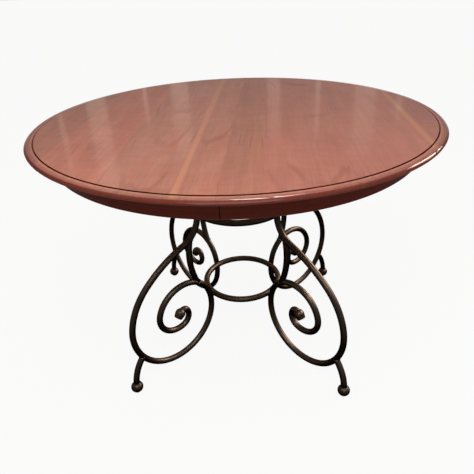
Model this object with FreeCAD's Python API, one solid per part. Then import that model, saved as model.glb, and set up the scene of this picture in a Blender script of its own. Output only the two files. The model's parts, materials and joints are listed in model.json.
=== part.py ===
import FreeCAD, Part
import math
import os

# A round extension table: a cherry top in two sliding halves on a wrought iron base of scroll legs.
# Millimetres, +Z up, origin on the floor under the centre. +Y runs along the seam between the halves
# and +X is the way the right half slides.

# Overall sizes
TABLE_HEIGHT = 762.0
TOP_DIAMETER = 1117.6
TOP_THICKNESS = 22.0
TRAVEL = 232.0  # of each half, from closed to open
SEAM_GAP = 0.2

# Moulded rim, in from the rim and down from the top face
GROOVE_INSET = 21.5
GROOVE_WIDTH = 3.0
GROOVE_DEPTH = 2.5
GROOVE_WALL_SHARE = 0.2  # each sloping wall, of the width
BEAD_DROP = 1.0
BEAD_WIDTH = 9.0
BEAD_FALL = 0.8
ROLL_BULGE = 2.0
NOSE_DROP = 7.5
NOSE_HEIGHT = 4.5
NOSE_INSET = 2.5
NOSE_BULGE = 0.7
BEVEL_WIDTH = 19.5

# Board widths as shares of the top's radius, counted out from the seam; each last board runs to the rim
LEFT_BOARD_SHARES = (0.143, 0.297, 0.311)
RIGHT_BOARD_SHARES = (0.150, 0.311, 0.344)

# Alignment pins across the seam
PIN_DIAMETER = 10.0
PIN_DEPTH = 22.0  # in each half
PIN_CLEARANCE = 0.4
PIN_HOLE_SPARE = 2.0
PIN_NOSE = 3.0
PIN_PLACES = (-400.0, -240.0, 240.0, 400.0)

# Apron and its glue blocks
APRON_INSET = 55.8
APRON_THICKNESS = 19.0
APRON_DEPTH = 47.0
APRON_EASE = 2.5
APRON_SEAM_GAP = 0.4
BLOCK_LENGTH = 44.0
BLOCK_DEPTH = 22.0
BLOCK_HEIGHT = 26.0
BLOCK_ANGLES = (-78.0, -45.0, 45.0, 78.0)  # from the middle of a half
BLOCK_FROM_SLIDE = 69.0  # the two inner blocks, from the slides beside them

# Slides: a fixed centre rail with a dovetail tongue on each side, and a grooved rail under each half
RAIL_HEIGHT = 40.0
RAIL_WIDTH = 26.0
RAIL_OVERHANG = 300.0  # past the seam
RAIL_END_GAP = 14.0  # inside the apron
RAIL_RELIEF = 1.0  # under the other half
CENTRE_WIDTH = 26.0
CENTRE_END_GAP = 95.0  # inside the apron
CENTRE_TOP_GAP = 3.0
SIDE_CLEARANCE = 0.5
TONGUE_ROOT = 10.0
TONGUE_TIP = 14.0
TONGUE_DEPTH = 8.0
TONGUE_CLEARANCE = 0.4
CLEAT_GAP = 2.0
CLEAT_THICKNESS = 20.0
CLEAT_WIDTH = 60.0
CLEAT_END = 50.0  # past the leg

# Equaliser: a pinion between two racks
GEAR_MODULE = 2.0
PINION_TEETH = 16
PRESSURE_ANGLE = 20.0
ADDENDUM = 1.8
DEDENDUM = 2.4
BACKLASH = 0.5
PINION_THICKNESS = 6.0
RACK_HEIGHT = 10.0
RACK_BACK = 10.0
RACK_TAIL = 150.0
RACK_LEAD = 14.0
PINION_LIFT = 0.5  # pinion underside above the rack underside
PIVOT_RADIUS = 4.0
PIVOT_FLANGE_RADIUS = 10.0
PIVOT_DEPTH = 12.0
RUNNING_CLEARANCE = 0.1
END_FLOAT = 0.2
CLIP_RADIUS = 7.5
CLIP_THICKNESS = 1.0
BRIDGE_WIDTH = 64.0
BRIDGE_THICKNESS = 16.0

# Table locks: a lever on the left half swings its slot over a pin on the right half
LOCK_Y = 300.0
LOCK_SETBACK = 28.0  # pivot to seam
LOCK_REACH = 50.0  # pivot to catch pin
LOCK_PLATE_LENGTH = 64.0
LOCK_PLATE_WIDTH = 36.0
LOCK_PLATE_THICKNESS = 3.0
LOCK_SCREW_OFFSET = 24.0
LEVER_WIDTH = 24.0
LEVER_THICKNESS = 4.0
LEVER_TIP = 14.0  # past the pin
LEVER_SWING = 90.0  # degrees, open to locked
LEVER_SLOT_END = 4.0  # degrees past the lever's centre line
LEVER_DROP = 4.0  # lock plate to lever
LEVER_FLOAT = 0.3
FINGER_TAB_HEIGHT = 12.0
FINGER_TAB_THICKNESS = 4.0
LOCK_PIVOT_RADIUS = 3.5
LOCK_COLLAR_RADIUS = 6.0
LOCK_HEAD_HEIGHT = 2.5
CATCH_PIN_RADIUS = 3.0
CATCH_PIN_CLEARANCE = 0.6

# Screws
SHANK_RADIUS = 2.25
HEAD_RADIUS = 4.5
HEAD_HEIGHT = 2.2
SHORT_SCREW = 18.0
LONG_SCREW = 48.0
RAIL_SCREW = 38.0
RAIL_SCREW_INSET = 8.75  # from the rail face away from the groove
RAIL_SCREW_SINK = 14.0
COUNTERBORE_SPARE = 1.0
RAIL_SCREW_SHARES = (0.083, 0.289, 0.517, 0.723)  # of the way from the seam to the apron
RACK_SCREW_PLACES = (40.0, 85.0, 130.0)  # from the seam
RACK_SCREW_INSET = 5.0  # from the rack's back

# Mounting plates on the leg tops
PLATE_THICKNESS = 6.0
PLATE_LENGTH = 92.0  # along the cleat
PLATE_WIDTH = 52.0
PLATE_LONG_SCREW_OFFSET = 17.0
PLATE_SHORT_SCREW_OFFSET = 33.0

# Iron bars of the base
LEG_BAR = 19.0
BRACE_BAR = 19.0
RING_BAR = 19.0
WELD_SINK = 0.8
WAIST_RADIUS = 163.5
WAIST_HEIGHT = 508.0
FLARE_TURN = 50.0

# Bends of a leg below its waist; turns are in degrees, positive to the left
SHOULDER_RADIUS = 86.0
SHOULDER_TURN = 71.0
ARM_RADIUS = 400.0
ARM_TURN = -23.0
HAUNCH_RADIUS = 210.0
HAUNCH_TURN = -39.0
FLANK_RADIUS = 165.0
FLANK_TURN = -51.0
BELLY_RADIUS = 142.0
BELLY_TURN = -160.0
CROWN_RADIUS = 97.0
CROWN_TURN = -143.0
EYE_RADIUS = 61.0
EYE_TURN = -125.0
INNER_RADIUS = 34.0
INNER_TURN = -102.0
CURL_RADIUS = 14.0
CURL_TURN = -110.0
BUD_DIAMETER = 32.0
BUD_MIDDLE = 4.0  # of its ball, past the end of the bent bar
BUD_END_DIAMETER = 26.0
BUD_LENGTH = 20.0

# Where the rings, braces and feet meet a leg
WAIST_RING_HEIGHT = 495.3
STRETCHER_RING_HEIGHT = 205.8
BRACE_RADIUS = 245.0
BRACE_TOP_SHARE = 0.74  # along the shoulder bend
BRACE_FOOT_SHARE = 0.235  # along the crown bend
STEM_RADIUS = 150.0
STEM_TOP_SHARE = 0.74  # along the flank bend
FOOT_RADIUS = 445.0
BALL_DIAMETER = 37.0
BALL_HEIGHT = 28.0
BALL_SEAT_DIAMETER = 22.0
BALL_CROWN_DIAMETER = 22.0
GLIDE_DIAMETER = 20.0
GLIDE_HEIGHT = 2.5
GLIDE_STUD_DIAMETER = 6.0
GLIDE_STUD_LENGTH = 10.0
GLIDE_CLEARANCE = 0.1

CORNERS = {"back_right": 45.0, "back_left": 135.0, "front_left": 225.0, "front_right": 315.0}
ENDS = {"front": -1, "back": 1}
HALVES = {"left": -1, "right": 1}

# Levels and places that follow from the sizes above
TOP_RADIUS = TOP_DIAMETER / 2
TOP_UNDERSIDE = TABLE_HEIGHT - TOP_THICKNESS
APRON_RADIUS = TOP_RADIUS - APRON_INSET
APRON_INNER = APRON_RADIUS - APRON_THICKNESS
RAIL_BOTTOM = TOP_UNDERSIDE - RAIL_HEIGHT
CLEAT_TOP = RAIL_BOTTOM - CLEAT_GAP
CLEAT_BOTTOM = CLEAT_TOP - CLEAT_THICKNESS
PLATE_BOTTOM = CLEAT_BOTTOM - PLATE_THICKNESS
FLARE_RADIUS = (PLATE_BOTTOM - WAIST_HEIGHT) / (2 * math.sin(math.radians(FLARE_TURN)))
PLATE_RADIUS = WAIST_RADIUS + 2 * FLARE_RADIUS * (1 - math.cos(math.radians(FLARE_TURN)))
PLATE_PLACE = PLATE_RADIUS * math.cos(math.radians(45.0))  # along X and along Y
PITCH_RADIUS = GEAR_MODULE * PINION_TEETH / 2
RACK_BOTTOM = TOP_UNDERSIDE - RACK_HEIGHT
PINION_BOTTOM = RACK_BOTTOM + PINION_LIFT
BRIDGE_TOP = CLEAT_TOP + BRIDGE_THICKNESS
LOCK_PLATE_BOTTOM = TOP_UNDERSIDE - LOCK_PLATE_THICKNESS
LEVER_TOP = LOCK_PLATE_BOTTOM - LEVER_DROP
LEVER_BOTTOM = LEVER_TOP - LEVER_THICKNESS

ORIGIN = FreeCAD.Vector(0, 0, 0)
UP = FreeCAD.Vector(0, 0, 1)
ALONG_Y = FreeCAD.Vector(0, 1, 0)
ALONG_X = FreeCAD.Vector(1, 0, 0)


def box(x_range, y_range, z_range):
    """A box from its three ranges, each given in either order."""
    low = [min(span) for span in (x_range, y_range, z_range)]
    size = [max(span) - min(span) for span in (x_range, y_range, z_range)]
    return Part.makeBox(*size, FreeCAD.Vector(*low))


def cylinder(x, y, z_range, radius):
    """An upright cylinder."""
    low, high = min(z_range), max(z_range)
    return Part.makeCylinder(radius, high - low, FreeCAD.Vector(x, y, low))


def turn_about_z(shape, degrees):
    """A copy turned about the table's centre line."""
    turned = shape.copy()
    turned.rotate(ORIGIN, UP, degrees)
    return turned


def in_plane(point):
    """A point of a leg's upright plane, given as distance from the centre line and height."""
    return FreeCAD.Vector(point[0], 0, point[1])


def lathe(start, *steps):
    """A solid turned about Z. Each step is an end point, or a via point and an end point of an arc."""
    edges = []
    here = start
    for step in steps + (start,):
        if isinstance(step[0], tuple):
            via, end = step
            edges.append(Part.Arc(in_plane(here), in_plane(via), in_plane(end)).toShape())
        else:
            end = step
            edges.append(Part.makeLine(in_plane(here), in_plane(end)))
        here = end
    return Part.Face(Part.Wire(edges)).revolve(ORIGIN, UP, 360)


def prism(points, low, depth):
    """A straight-sided solid over a closed outline in X and Y."""
    corners = [FreeCAD.Vector(x, y, low) for x, y in points]
    face = Part.Face(Part.makePolygon(corners + corners[:1]))
    return face.extrude(UP * depth)


def wood_screw(x, y, seat, length, upwards=1):
    """A pan-headed screw whose head bears on the seat height."""
    shank = cylinder(x, y, (seat, seat + upwards * length), SHANK_RADIUS)
    head = cylinder(x, y, (seat, seat - upwards * HEAD_HEIGHT), HEAD_RADIUS)
    return shank.fuse(head).removeSplitter()


def drilled(piece, tools):
    """A piece with its screws, pins or neighbours cut out of it."""
    return piece.cut(Part.makeCompound(tools))


class Bend:
    """One round bend of a bar, in a leg's upright plane."""

    def __init__(self, start, heading, radius, turn):
        self.heading = heading
        self.turn = turn
        self.reach = math.copysign(radius, turn)
        lean = math.radians(heading)
        self.centre = (start[0] - self.reach * math.sin(lean), start[1] + self.reach * math.cos(lean))

    def heading_at(self, share):
        return self.heading + share * self.turn

    def at(self, share):
        lean = math.radians(self.heading_at(share))
        return (self.centre[0] + self.reach * math.sin(lean), self.centre[1] - self.reach * math.cos(lean))

    def edge(self):
        return Part.Arc(*[in_plane(self.at(share)) for share in (0.0, 0.5, 1.0)]).toShape()


def leg_bends():
    """The bends of one leg by name, from its mounting plate down to the eye of the scroll."""
    schedule = {
        "flare_out": (FLARE_RADIUS, -FLARE_TURN),
        "flare_in": (FLARE_RADIUS, FLARE_TURN),
        "shoulder": (SHOULDER_RADIUS, SHOULDER_TURN),
        "arm": (ARM_RADIUS, ARM_TURN),
        "haunch": (HAUNCH_RADIUS, HAUNCH_TURN),
        "flank": (FLANK_RADIUS, FLANK_TURN),
        "belly": (BELLY_RADIUS, BELLY_TURN),
        "crown": (CROWN_RADIUS, CROWN_TURN),
        "eye": (EYE_RADIUS, EYE_TURN),
        "inner": (INNER_RADIUS, INNER_TURN),
        "curl": (CURL_RADIUS, CURL_TURN),
    }
    bends = {}
    start = (PLATE_RADIUS, PLATE_BOTTOM)
    heading = -90.0
    for name, (radius, turn) in schedule.items():
        bends[name] = Bend(start, heading, radius, turn)
        start = bends[name].at(1.0)
        heading = bends[name].heading_at(1.0)
    return bends


def round_bar(edges, diameter):
    """A round bar along tangent edges."""
    first = edges[0]
    start = first.valueAt(first.FirstParameter)
    along = first.tangentAt(first.FirstParameter)
    section = Part.Wire(Part.makeCircle(diameter / 2, start, along))
    return Part.Wire(edges).makePipeShell([section], True, False)


def bowed_edge(start, end, radius, side):
    """An arc of a given radius between two points of a leg's plane, bowed left (1) or right (-1)."""
    run = (end[0] - start[0], end[1] - start[1])
    chord = math.hypot(*run)
    bow = side * (radius - math.sqrt(radius**2 - chord**2 / 4)) / chord
    middle = ((start[0] + end[0]) / 2 - bow * run[1], (start[1] + end[1]) / 2 + bow * run[0])
    return Part.Arc(in_plane(start), in_plane(middle), in_plane(end)).toShape()


def leg_scroll(bends):
    """The scroll bar with the upset bud at its end, a ball that narrows to a flat face."""
    bar = round_bar([bend.edge() for bend in bends.values()], LEG_BAR)
    ball, face = BUD_DIAMETER / 2, BUD_END_DIAMETER / 2
    run = BUD_LENGTH - BUD_MIDDLE
    leave = math.atan2(face, run) + math.acos(ball / math.hypot(face, run))  # where the cone touches the ball
    via = (leave + math.pi) / 2
    bud = lathe(
        (0, BUD_MIDDLE - ball),
        (
            (ball * math.sin(via), BUD_MIDDLE + ball * math.cos(via)),
            (ball * math.sin(leave), BUD_MIDDLE + ball * math.cos(leave)),
        ),
        (face, BUD_LENGTH),
        (0, BUD_LENGTH),
    )
    curl = bends["curl"]
    bud.rotate(ORIGIN, ALONG_Y, 90 - curl.heading_at(1.0))
    bud.translate(in_plane(curl.at(1.0)))
    return bar.fuse(bud).removeSplitter()


def ring(bend, height):
    """A ring welded inside the legs where a bend passes the given height."""
    reach = abs(bend.reach) + LEG_BAR / 2 + RING_BAR / 2 - WELD_SINK
    radius = bend.centre[0] - math.sqrt(reach**2 - (height - bend.centre[1]) ** 2)
    return Part.makeTorus(radius, RING_BAR / 2, FreeCAD.Vector(0, 0, height), UP)


def iron_base():
    """Legs, braces, feet and rings, each cut to meet its neighbour face to face."""
    bends = leg_bends()
    scroll = leg_scroll(bends)

    brace_ends = bends["shoulder"].at(BRACE_TOP_SHARE), bends["crown"].at(BRACE_FOOT_SHARE)
    brace = round_bar([bowed_edge(*brace_ends, BRACE_RADIUS, 1)], BRACE_BAR).cut(scroll)

    seat = GLIDE_HEIGHT
    crown = seat + BALL_HEIGHT
    widest = (seat + crown) / 2
    ball = lathe(
        (0, seat),
        (BALL_SEAT_DIAMETER / 2, seat),
        ((BALL_DIAMETER / 2, widest), (BALL_CROWN_DIAMETER / 2, crown)),
        (0, crown),
    )
    ball.translate(in_plane((FOOT_RADIUS, 0)))
    stem_ends = bends["flank"].at(STEM_TOP_SHARE), (FOOT_RADIUS, widest)
    stem = round_bar([bowed_edge(*stem_ends, STEM_RADIUS, 1)], BRACE_BAR).cut(scroll).cut(ball)

    stud_top = seat + GLIDE_STUD_LENGTH
    glide = cylinder(FOOT_RADIUS, 0, (0, seat), GLIDE_DIAMETER / 2)
    glide = glide.fuse(cylinder(FOOT_RADIUS, 0, (seat, stud_top), GLIDE_STUD_DIAMETER / 2))
    stud_hole = GLIDE_STUD_DIAMETER / 2 + GLIDE_CLEARANCE
    ball = ball.cut(cylinder(FOOT_RADIUS, 0, (seat, stud_top + GLIDE_CLEARANCE), stud_hole))

    nodes = {}
    for corner, angle in CORNERS.items():
        nodes["leg_scroll_" + corner] = turn_about_z(scroll, angle)
        nodes["leg_brace_" + corner] = turn_about_z(brace, angle)
        nodes["foot_stem_" + corner] = turn_about_z(stem, angle)
        nodes["ball_foot_" + corner] = turn_about_z(ball, angle)
    nodes["floor_glides"] = Part.makeCompound([turn_about_z(glide, angle) for angle in CORNERS.values()])
    legs = [nodes["leg_scroll_" + corner] for corner in CORNERS]
    nodes["waist_ring"] = drilled(ring(bends["shoulder"], WAIST_RING_HEIGHT), legs)
    nodes["stretcher_ring"] = drilled(ring(bends["belly"], STRETCHER_RING_HEIGHT), legs)
    return nodes


def dovetail(side, spare):
    """Outline in Y and Z of a tongue standing off one side of a centre rail, grown by a clearance."""
    middle = (RAIL_BOTTOM + TOP_UNDERSIDE) / 2
    root = side * CENTRE_WIDTH / 2
    tip = root + side * (TONGUE_DEPTH + spare)
    half_root = TONGUE_ROOT / 2 + spare
    half_tip = TONGUE_TIP / 2 + spare
    lower = [(root, middle - half_root), (tip, middle - half_tip)]
    upper = [(tip, middle + half_tip), (root, middle + half_root)]
    return lower + upper


def along_x(points, y, x_range):
    """A straight bar along X over an outline in Y and Z, moved sideways to a slide's place."""
    start = min(x_range)
    corners = [FreeCAD.Vector(start, y + side, height) for side, height in points]
    face = Part.Face(Part.makePolygon(corners + corners[:1]))
    return face.extrude(ALONG_X * (max(x_range) - start))


def centre_rail(end):
    """The fixed rail of one slide, with a tongue on both sides."""
    y = end * PLATE_PLACE
    outer = PLATE_PLACE + CENTRE_WIDTH / 2 + TONGUE_DEPTH
    reach = math.sqrt(APRON_INNER**2 - outer**2) - CENTRE_END_GAP
    span = (-reach, reach)
    core = (y - CENTRE_WIDTH / 2, y + CENTRE_WIDTH / 2)
    rail = box(span, core, (CLEAT_TOP, TOP_UNDERSIDE - CENTRE_TOP_GAP))
    for side in (-1, 1):
        rail = rail.fuse(along_x(dovetail(side, 0), y, span))
    return rail.removeSplitter()


def rail_sides(half, end):
    """Which side of its centre rail a half's rail runs on, and its near and far faces."""
    side = end * half
    near = end * PLATE_PLACE + side * (CENTRE_WIDTH / 2 + SIDE_CLEARANCE)
    return side, near, near + side * RAIL_WIDTH


def rail_screws(half, end):
    """Screws that hold a slide rail up to its half of the top."""
    side, near, far = rail_sides(half, end)
    y = far - side * RAIL_SCREW_INSET
    seat = RAIL_BOTTOM + RAIL_SCREW_SINK
    return [wood_screw(half * share * APRON_INNER, y, seat, RAIL_SCREW) for share in RAIL_SCREW_SHARES]


def slide_rail(half, end):
    """A grooved rail under one half, relieved where it runs on under the other half."""
    side, near, far = rail_sides(half, end)
    outer = max(abs(near), abs(far))
    tail = half * (math.sqrt(APRON_INNER**2 - outer**2) - RAIL_END_GAP)
    head = -half * RAIL_OVERHANG
    rail = box((tail, head), (near, far), (RAIL_BOTTOM, TOP_UNDERSIDE))
    relief = box((half * SEAM_GAP, head), (near, far), (TOP_UNDERSIDE - RAIL_RELIEF, TOP_UNDERSIDE))
    groove = along_x(dovetail(side, TONGUE_CLEARANCE), end * PLATE_PLACE, (tail, head))
    rail = rail.cut(relief).cut(groove)
    for screw in rail_screws(half, end):
        middle = screw.BoundBox.Center
        sink = (RAIL_BOTTOM, RAIL_BOTTOM + RAIL_SCREW_SINK)
        rail = rail.cut(cylinder(middle.x, middle.y, sink, HEAD_RADIUS + COUNTERBORE_SPARE))
        rail = rail.cut(screw)
    return rail


def sub_frame():
    """What stands on the mounting plates: cleats, centre rails and the bridge for the pinion."""
    plates = []
    long_screws = []
    short_screws = []
    for x in (-PLATE_PLACE, PLATE_PLACE):
        for y in (-PLATE_PLACE, PLATE_PLACE):
            x_range = (x - PLATE_WIDTH / 2, x + PLATE_WIDTH / 2)
            y_range = (y - PLATE_LENGTH / 2, y + PLATE_LENGTH / 2)
            plates.append(box(x_range, y_range, (PLATE_BOTTOM, CLEAT_BOTTOM)))
            for side in (-1, 1):
                long_x = x + side * PLATE_LONG_SCREW_OFFSET
                long_screws.append(wood_screw(long_x, y, PLATE_BOTTOM, LONG_SCREW))
                short_y = y + side * PLATE_SHORT_SCREW_OFFSET
                short_screws.append(wood_screw(x, short_y, PLATE_BOTTOM, SHORT_SCREW))
    screws = long_screws + short_screws

    half_bridge = PLATE_PLACE + CLEAT_WIDTH / 2
    bridge = box((-half_bridge, half_bridge), (-BRIDGE_WIDTH / 2, BRIDGE_WIDTH / 2), (CLEAT_TOP, BRIDGE_TOP))
    bridge_screws = []
    for x in (-PLATE_PLACE, PLATE_PLACE):
        for y in (-BRIDGE_WIDTH / 4, BRIDGE_WIDTH / 4):
            bridge_screws.append(wood_screw(x, y, BRIDGE_TOP, BRIDGE_THICKNESS + CLEAT_THICKNESS / 2, -1))

    flange_top = PINION_BOTTOM - END_FLOAT
    clip_bottom = PINION_BOTTOM + PINION_THICKNESS + END_FLOAT
    clip_top = clip_bottom + CLIP_THICKNESS
    pivot = cylinder(0, 0, (BRIDGE_TOP - PIVOT_DEPTH, clip_top + END_FLOAT), PIVOT_RADIUS)
    pivot = pivot.fuse(cylinder(0, 0, (BRIDGE_TOP, flange_top), PIVOT_FLANGE_RADIUS)).removeSplitter()
    clip = cylinder(0, 0, (clip_bottom, clip_top), CLIP_RADIUS).cut(pivot)

    nodes = {
        "mounting_plates": drilled(Part.makeCompound(plates), screws),
        "plate_screws_long": Part.makeCompound(long_screws),
        "plate_screws_short": Part.makeCompound(short_screws),
        "pinion_bridge": drilled(bridge, bridge_screws + [pivot]),
        "bridge_screws": Part.makeCompound(bridge_screws),
        "pinion_pivot": pivot,
        "pinion_clip": clip,
    }
    half_cleat = PLATE_PLACE + CLEAT_END
    for name, half in HALVES.items():
        x = half * PLATE_PLACE
        x_range = (x - CLEAT_WIDTH / 2, x + CLEAT_WIDTH / 2)
        cleat = box(x_range, (-half_cleat, half_cleat), (CLEAT_BOTTOM, CLEAT_TOP))
        nodes["cleat_" + name] = drilled(cleat, screws + bridge_screws)
    for name, end in ENDS.items():
        nodes["centre_rail_" + name] = drilled(centre_rail(end), long_screws)
    return nodes


def pinion():
    """The equaliser's gear, with one tooth pointing along +Y and one along -Y."""
    base = PITCH_RADIUS * math.cos(math.radians(PRESSURE_ANGLE))
    tip = PITCH_RADIUS + ADDENDUM
    root = PITCH_RADIUS - DEDENDUM
    half_tooth = (math.pi * GEAR_MODULE - BACKLASH) / 4 / PITCH_RADIUS

    def involute(radius):
        slope = math.acos(base / radius)
        return math.tan(slope) - slope

    def flank(radius, centre, side):
        spread = half_tooth + involute(PITCH_RADIUS) - involute(max(base, radius))
        angle = centre + side * spread
        return FreeCAD.Vector(radius * math.cos(angle), radius * math.sin(angle), PINION_BOTTOM)

    edges = []
    step = 2 * math.pi / PINION_TEETH
    middle = (base + tip) / 2
    for tooth in range(PINION_TEETH):
        centre = math.pi / 2 + tooth * step
        rising = [flank(radius, centre, -1) for radius in (root, base, middle, tip)]
        falling = [flank(radius, centre, 1) for radius in (tip, middle, base, root)]
        edges.append(Part.makeLine(rising[0], rising[1]))
        edges.append(Part.Arc(*rising[1:]).toShape())
        edges.append(Part.makeLine(rising[3], falling[0]))
        edges.append(Part.Arc(*falling[:3]).toShape())
        edges.append(Part.makeLine(falling[2], falling[3]))
        edges.append(Part.makeLine(falling[3], flank(root, centre + step, -1)))
    blank = Part.Face(Part.Wire(edges)).extrude(UP * PINION_THICKNESS)
    bore = (PINION_BOTTOM, PINION_BOTTOM + PINION_THICKNESS)
    return blank.cut(cylinder(0, 0, bore, PIVOT_RADIUS + RUNNING_CLEARANCE))


def rack_screws(half):
    """Screws that hold a rack up to its half of the top."""
    y = PITCH_RADIUS + DEDENDUM + RACK_BACK - RACK_SCREW_INSET
    return [wood_screw(half * place, -half * y, RACK_BOTTOM, SHORT_SCREW) for place in RACK_SCREW_PLACES]


def rack(half):
    """A half's rack: drawn for the left half, with a gap between teeth over the pinion, and turned."""
    pitch = math.pi * GEAR_MODULE
    slope = math.tan(math.radians(PRESSURE_ANGLE))
    half_tooth = (pitch - BACKLASH) / 4
    tip = PITCH_RADIUS - ADDENDUM
    root = PITCH_RADIUS + DEDENDUM
    back = root + RACK_BACK
    first = -math.ceil(RACK_LEAD / pitch)
    last = math.ceil((TRAVEL + RACK_LEAD) / pitch)
    points = [(-RACK_TAIL, back), (-RACK_TAIL, root)]
    for tooth in range(first, last):
        centre = (tooth + 0.5) * pitch
        at_root = half_tooth + DEDENDUM * slope
        at_tip = half_tooth - ADDENDUM * slope
        points.append((centre - at_root, root))
        points.append((centre - at_tip, tip))
        points.append((centre + at_tip, tip))
        points.append((centre + at_root, root))
    end = last * pitch + GEAR_MODULE
    points += [(end, root), (end, back)]
    bar = prism(points, RACK_BOTTOM, RACK_HEIGHT)
    relief = box((-SEAM_GAP, end), (tip, back), (TOP_UNDERSIDE - RAIL_RELIEF, TOP_UNDERSIDE))
    bar = bar.cut(relief)
    if half > 0:
        bar = turn_about_z(bar, 180)
    return drilled(bar, rack_screws(half))


def lock_screws(half):
    """Screws of the lock plates on the left half, or of the catches on the right half."""
    x = -LOCK_SETBACK if half < 0 else LOCK_REACH - LOCK_SETBACK
    screws = []
    for end in ENDS.values():
        for side in (-1, 1):
            y = end * LOCK_Y + side * LOCK_SCREW_OFFSET
            screws.append(wood_screw(x, y, LOCK_PLATE_BOTTOM, SHORT_SCREW))
    return screws


def lock_plate(half, end):
    """A plate under the top with the lever's pivot, on the left, or the catch pin, on the right."""
    x = -LOCK_SETBACK if half < 0 else LOCK_REACH - LOCK_SETBACK
    y = end * LOCK_Y
    x_range = (x - LOCK_PLATE_WIDTH / 2, x + LOCK_PLATE_WIDTH / 2)
    y_range = (y - LOCK_PLATE_LENGTH / 2, y + LOCK_PLATE_LENGTH / 2)
    plate = box(x_range, y_range, (LOCK_PLATE_BOTTOM, TOP_UNDERSIDE))
    if half < 0:
        head_top = LEVER_BOTTOM - LEVER_FLOAT
        collar_bottom = LEVER_TOP + LEVER_FLOAT
        plate = plate.fuse(cylinder(x, y, (LOCK_PLATE_BOTTOM, collar_bottom), LOCK_COLLAR_RADIUS))
        plate = plate.fuse(cylinder(x, y, (LOCK_PLATE_BOTTOM, head_top), LOCK_PIVOT_RADIUS))
        plate = plate.fuse(cylinder(x, y, (head_top, head_top - LOCK_HEAD_HEIGHT), LOCK_COLLAR_RADIUS))
    else:
        plate = plate.fuse(cylinder(x, y, (LOCK_PLATE_BOTTOM, LEVER_BOTTOM), CATCH_PIN_RADIUS))
    return drilled(plate.removeSplitter(), lock_screws(half))


def lock_lever(end):
    """A lever in its open place, pointing away from the table's centre along the seam."""
    tip = LOCK_REACH + LEVER_TIP
    width = (-LEVER_WIDTH / 2, LEVER_WIDTH / 2)
    lever = box((0, tip), width, (LEVER_BOTTOM, LEVER_TOP))
    lever = lever.fuse(cylinder(0, 0, (LEVER_BOTTOM, LEVER_TOP), LEVER_WIDTH / 2))
    tab_bottom = LEVER_BOTTOM - FINGER_TAB_HEIGHT
    lever = lever.fuse(box((tip - FINGER_TAB_THICKNESS, tip), width, (tab_bottom, LEVER_BOTTOM)))
    slot_half = CATCH_PIN_RADIUS + CATCH_PIN_CLEARANCE
    slot_span = LEVER_SWING + LEVER_SLOT_END
    slot = Part.makeCylinder(LOCK_REACH + slot_half, LEVER_THICKNESS, UP * LEVER_BOTTOM, UP, slot_span)
    slot = slot.cut(cylinder(0, 0, (LEVER_BOTTOM, LEVER_TOP), LOCK_REACH - slot_half))
    lean = math.radians(slot_span)
    end_x, end_y = LOCK_REACH * math.cos(lean), LOCK_REACH * math.sin(lean)
    slot = slot.fuse(cylinder(end_x, end_y, (LEVER_BOTTOM, LEVER_TOP), slot_half))
    slot.rotate(ORIGIN, UP, -LEVER_SWING)
    lever = lever.cut(slot)
    lever = lever.cut(cylinder(0, 0, (LEVER_BOTTOM, LEVER_TOP), LOCK_PIVOT_RADIUS + RUNNING_CLEARANCE))
    lever = lever.removeSplitter()
    if end < 0:
        lever = lever.mirror(ORIGIN, ALONG_Y)
    lever.rotate(ORIGIN, UP, end * LEVER_SWING)
    lever.translate(FreeCAD.Vector(-LOCK_SETBACK, end * LOCK_Y, 0))
    return lever


def whole_top():
    """The disc of the top with its groove, bead, nose and under-bevel, before it is cut into boards."""
    top = TABLE_HEIGHT
    groove_in = TOP_RADIUS - GROOVE_INSET - GROOVE_WIDTH / 2
    groove_out = groove_in + GROOVE_WIDTH
    groove_wall = GROOVE_WIDTH * GROOVE_WALL_SHARE
    bead_out = groove_out + BEAD_WIDTH
    bead_end = top - BEAD_DROP - BEAD_FALL
    nose = top - NOSE_DROP
    under = nose - NOSE_HEIGHT
    roll_run = (TOP_RADIUS - bead_out, bead_end - nose)
    roll_length = math.hypot(*roll_run)
    roll_via = (
        (bead_out + TOP_RADIUS) / 2 + ROLL_BULGE * roll_run[1] / roll_length,
        (bead_end + nose) / 2 + ROLL_BULGE * roll_run[0] / roll_length,
    )
    nose_end = TOP_RADIUS - NOSE_INSET
    nose_via = ((TOP_RADIUS + nose_end) / 2 + NOSE_BULGE, (nose + under) / 2)
    return lathe(
        (0, TOP_UNDERSIDE),
        (nose_end - BEVEL_WIDTH, TOP_UNDERSIDE),
        (nose_end, under),
        (nose_via, (TOP_RADIUS, nose)),
        (roll_via, (bead_out, bead_end)),
        (groove_out, top - BEAD_DROP),
        (groove_out - groove_wall, top - GROOVE_DEPTH),
        (groove_in + groove_wall, top - GROOVE_DEPTH),
        (groove_in, top),
        (0, top),
    )


def alignment_pin(y, radius, x_range):
    """A pin, or the hole for one, lying across the seam at mid thickness."""
    start = FreeCAD.Vector(min(x_range), y, TABLE_HEIGHT - TOP_THICKNESS / 2)
    return Part.makeCylinder(radius, max(x_range) - min(x_range), start, ALONG_X)


def apron_ring():
    """The whole curved apron with eased lower edges, before it is parted at the seam."""
    bottom = TOP_UNDERSIDE - APRON_DEPTH
    return lathe(
        (APRON_INNER, TOP_UNDERSIDE),
        (APRON_INNER, bottom + APRON_EASE),
        (APRON_INNER + APRON_EASE, bottom),
        (APRON_RADIUS - APRON_EASE, bottom),
        (APRON_RADIUS, bottom + APRON_EASE),
        (APRON_RADIUS, TOP_UNDERSIDE),
    )


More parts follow.
